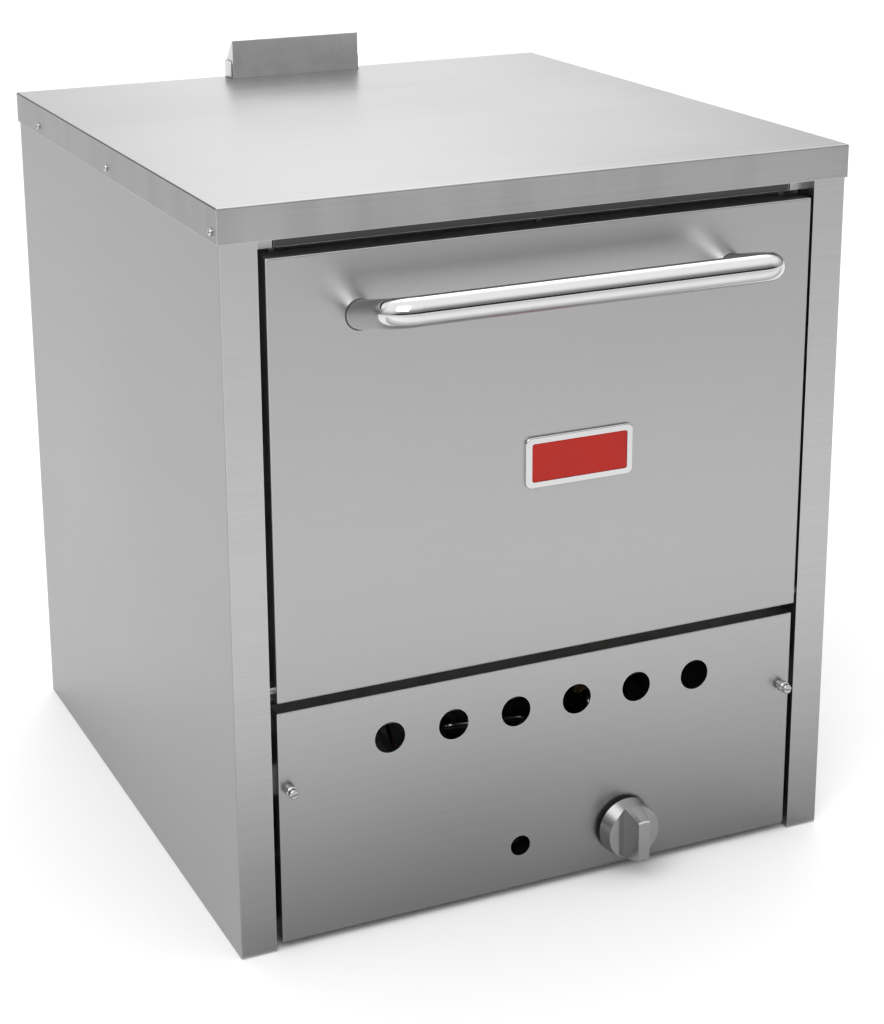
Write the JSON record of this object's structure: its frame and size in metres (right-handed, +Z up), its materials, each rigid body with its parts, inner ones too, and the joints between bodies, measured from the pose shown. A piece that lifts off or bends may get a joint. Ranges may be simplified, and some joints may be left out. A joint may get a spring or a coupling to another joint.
{
  "type": "deck oven",
  "caption": "Countertop gas deck oven: steel cabinet, drop-down door with tube handle, vented control panel with a knob, and a rear flue outlet.",
  "frame": {"origin": "centre of the underside of the outline box, on the floor plane", "axes": "+Z up, -Y out of the front where the door and knob are, +X to the right as seen from the front"},
  "size_m": [0.6194, 0.7598, 0.7315],
  "materials": {
    "stainless": "brushed stainless sheet",
    "door_steel": "fine satin stainless sheet",
    "panel_steel": "horizontally brushed stainless sheet",
    "chrome": "polished chrome tube",
    "knob_chrome": "satin chrome casting",
    "screw_steel": "plated screws",
    "galvanised": "dull galvanised sheet",
    "aluminised": "aluminised steel sheet",
    "wool": "mineral wool blanket",
    "deck_stone": "cordierite baking stone",
    "badge_silver": "bevelled silver rim",
    "badge_red": "plain red field",
    "black_iron": "black pipe and castings",
    "valve_alloy": "die-cast valve bodies",
    "bright_tube": "drawn aluminium tube",
    "brass": "turned brass",
    "copper": "copper capillary",
    "button_black": "black push button",
    "spring_steel": "oiled spring wire"
  },
  "bodies": {
    "cabinet": {"top_cover": "stainless", "left_side_panel": "stainless", "right_side_panel": "stainless", "control_panel": "panel_steel", "cover_screws": "screw_steel", "back_panel_screws": "screw_steel", "frame_screws": "screw_steel", "panel_screws": "screw_steel", "panel_collars": "screw_steel", "flue_diverter": "galvanised", "flue_collar": "galvanised", "flue_duct": "galvanised", "back_panel": "galvanised", "base_pan": "galvanised", "panel_brackets": "galvanised", "spring_anchors": "galvanised", "burner_brackets": "galvanised", "upper_front_rail": "galvanised", "lower_front_rail": "galvanised", "chamber_shell": "aluminised", "chamber_front_frame": "aluminised", "deck_rails": "aluminised", "flame_baffle": "aluminised", "hinge_brackets": "aluminised", "left_insulation": "wool", "right_insulation": "wool", "back_insulation": "wool", "top_insulation": "wool", "lower_deck": "deck_stone", "upper_deck": "deck_stone", "gas_supply_pipe": "black_iron", "burner": "black_iron", "manifold_pipe": "black_iron", "thermostat_body": "valve_alloy", "safety_valve_body": "valve_alloy", "pilot_burner": "valve_alloy", "burner_feed_tube": "bright_tube", "pilot_tube": "bright_tube", "burner_orifice": "brass", "thermocouple": "copper", "thermostat_bulb": "copper", "left_door_spring": "spring_steel", "right_door_spring": "spring_steel"},
    "door": {"door_panel": "door_steel", "door_liner": "aluminised", "door_insulation": "wool", "door_liner_screws": "screw_steel", "door_handle": "chrome", "handle_blocks": "aluminised", "handle_bolts": "screw_steel", "badge_frame": "badge_silver", "badge_plate": "badge_red", "hinge_arms": "aluminised", "hinge_pins": "screw_steel"},
    "knob": {"control_knob": "knob_chrome", "thermostat_stem": "valve_alloy"},
    "button": {"safety_button": "button_black"},
    "shutter": {"air_shutter": "bright_tube"}
  },
  "joints": [
    {"name": "door_hinge", "type": "hinge", "parent": "cabinet", "child": "door", "pos_m": [0, -0.281, 0.254], "axis": [1, 0, 0], "range_deg": [0, 90], "stiffness_Nm_per_rad": 1.15, "springref_deg": -74.48, "deforming": ["left_door_spring", "right_door_spring"]},
    {"name": "knob_turn", "type": "hinge", "parent": "cabinet", "child": "knob", "pos_m": [0.0846, -0.2926, 0.048], "axis": [0, -1, 0], "range_deg": [0, 270]},
    {"name": "button_press", "type": "slide", "parent": "cabinet", "child": "button", "axis": [0, 1, 0], "range_m": [0, 0.006], "stiffness_N_per_m": 400, "springref_m": -0.004},
    {"name": "shutter_turn", "type": "hinge", "parent": "cabinet", "child": "shutter", "pos_m": [0.0846, -0.18325, 0.15], "axis": [0, -1, 0], "range_deg": [-40, 40]}
  ]
}
